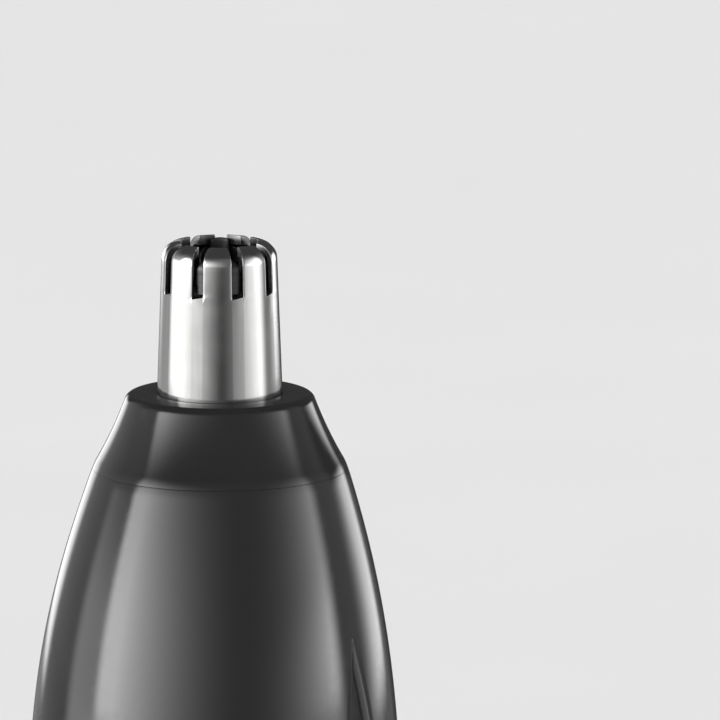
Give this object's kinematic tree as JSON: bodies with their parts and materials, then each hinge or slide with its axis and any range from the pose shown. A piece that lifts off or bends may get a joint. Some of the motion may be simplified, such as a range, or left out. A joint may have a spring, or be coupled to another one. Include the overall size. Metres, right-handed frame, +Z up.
{
  "type": "nose hair trimmer",
  "caption": "Upright battery-driven nose hair trimmer with a slotted steel guard, rotary cutter, pull-off head, sliding switch and pull-off base cap.",
  "frame": {"origin": "centre of the flat underside of the base cap", "axes": "+Z up along the drive axis to the open end of the guard, -Y towards the switch on the front, +X to the right as seen from the front"},
  "size_m": [0.0286, 0.0297, 0.127],
  "materials": {
    "dark_gloss_plastic": "high gloss, dark charcoal, lacquered",
    "soft_panel": "matt soft-touch",
    "button_plastic": "satin, ridged",
    "inner_plastic": "moulded, plain",
    "black_rubber": "smooth",
    "phenolic": "paper board",
    "contact_brass": "rolled",
    "zinc_steel": "zinc plated, drawn",
    "sintered_bronze": "sintered, oiled",
    "ferrite": "ground ferrite",
    "dark_screw": "blackened",
    "spring_steel": "drawn wire and strip",
    "nickel_strip": "nickel plated strip",
    "red_insulation": "extruded",
    "black_insulation": "extruded",
    "polished_steel": "polished stainless with fine turning lines",
    "blade_steel": "ground stainless, bead blasted sides",
    "ground_steel": "centreless ground",
    "acetal": "natural white",
    "laminated_iron": "stacked laminations",
    "enamelled_copper": "enamelled winding",
    "copper": "turned copper",
    "cell_paste": "solid fill",
    "cell_jacket": "plain shrink sleeve, no print",
    "fibre_washer": "pressed fibre"
  },
  "bodies": {
    "housing": {"main_housing": "dark_gloss_plastic", "neck_o_ring": "black_rubber", "switch_panel": "soft_panel", "switch_base": "phenolic", "switch_contacts": "contact_brass", "motor_can": "zinc_steel", "motor_end_cap": "inner_plastic", "motor_bushes": "sintered_bronze", "motor_magnets": "ferrite", "motor_terminals": "contact_brass", "motor_brushes": "contact_brass", "motor_cradle": "inner_plastic", "chassis_screws": "dark_screw", "battery_sleeve": "inner_plastic", "chassis_snap_ring": "spring_steel", "positive_contact": "nickel_strip", "negative_strip": "nickel_strip", "battery_lead": "red_insulation", "motor_lead": "black_insulation"},
    "switch": {"switch_button": "button_plastic", "switch_carriage": "inner_plastic", "switch_wiper": "contact_brass"},
    "head": {"head_collar": "dark_gloss_plastic", "slotted_guard": "polished_steel", "guard_retainer": "inner_plastic", "shaft_bush": "sintered_bronze"},
    "cutter": {"rotary_cutter": "blade_steel", "cutter_shaft": "ground_steel", "cutter_spring": "spring_steel", "spring_washer": "ground_steel", "retaining_clip": "spring_steel", "driven_coupling": "acetal"},
    "rotor": {"motor_shaft": "ground_steel", "armature_core": "laminated_iron", "armature_windings": "enamelled_copper", "commutator": "copper", "drive_coupling": "acetal"},
    "base_cap": {"base_cap": "dark_gloss_plastic", "cap_o_ring": "black_rubber", "cap_contact": "nickel_strip", "battery_spring": "nickel_strip"},
    "battery": {"battery_can": "zinc_steel", "battery_core": "cell_paste", "battery_jacket": "cell_jacket", "battery_insulator": "fibre_washer", "battery_terminal": "nickel_strip"}
  },
  "joints": [
    {"name": "rotor_spin", "type": "hinge", "parent": "housing", "child": "rotor", "pos_m": [0, 0, 0.08], "axis": [0, 0, 1], "continuous": true},
    {"name": "cutter_spin", "type": "hinge", "parent": "head", "child": "cutter", "pos_m": [0, 0, 0.12], "axis": [0, 0, 1], "continuous": true},
    {"name": "head_off", "type": "slide", "parent": "housing", "child": "head", "axis": [0, 0, 1], "range_m": [0, 0.03]},
    {"name": "switch_slide", "type": "slide", "parent": "housing", "child": "switch", "axis": [0, 0, 1], "range_m": [0, 0.0045]},
    {"name": "cap_off", "type": "slide", "parent": "housing", "child": "base_cap", "axis": [0, 0, -1], "range_m": [0, 0.05]},
    {"name": "battery_out", "type": "slide", "parent": "housing", "child": "battery", "axis": [0, 0, -1], "range_m": [0, 0.05]}
  ],
  "couplings": [
    {"joint": "cutter_spin", "follows": "rotor_spin", "ratio": 1},
    {"joint": "battery_out", "follows": "cap_off", "ratio": 1}
  ]
}
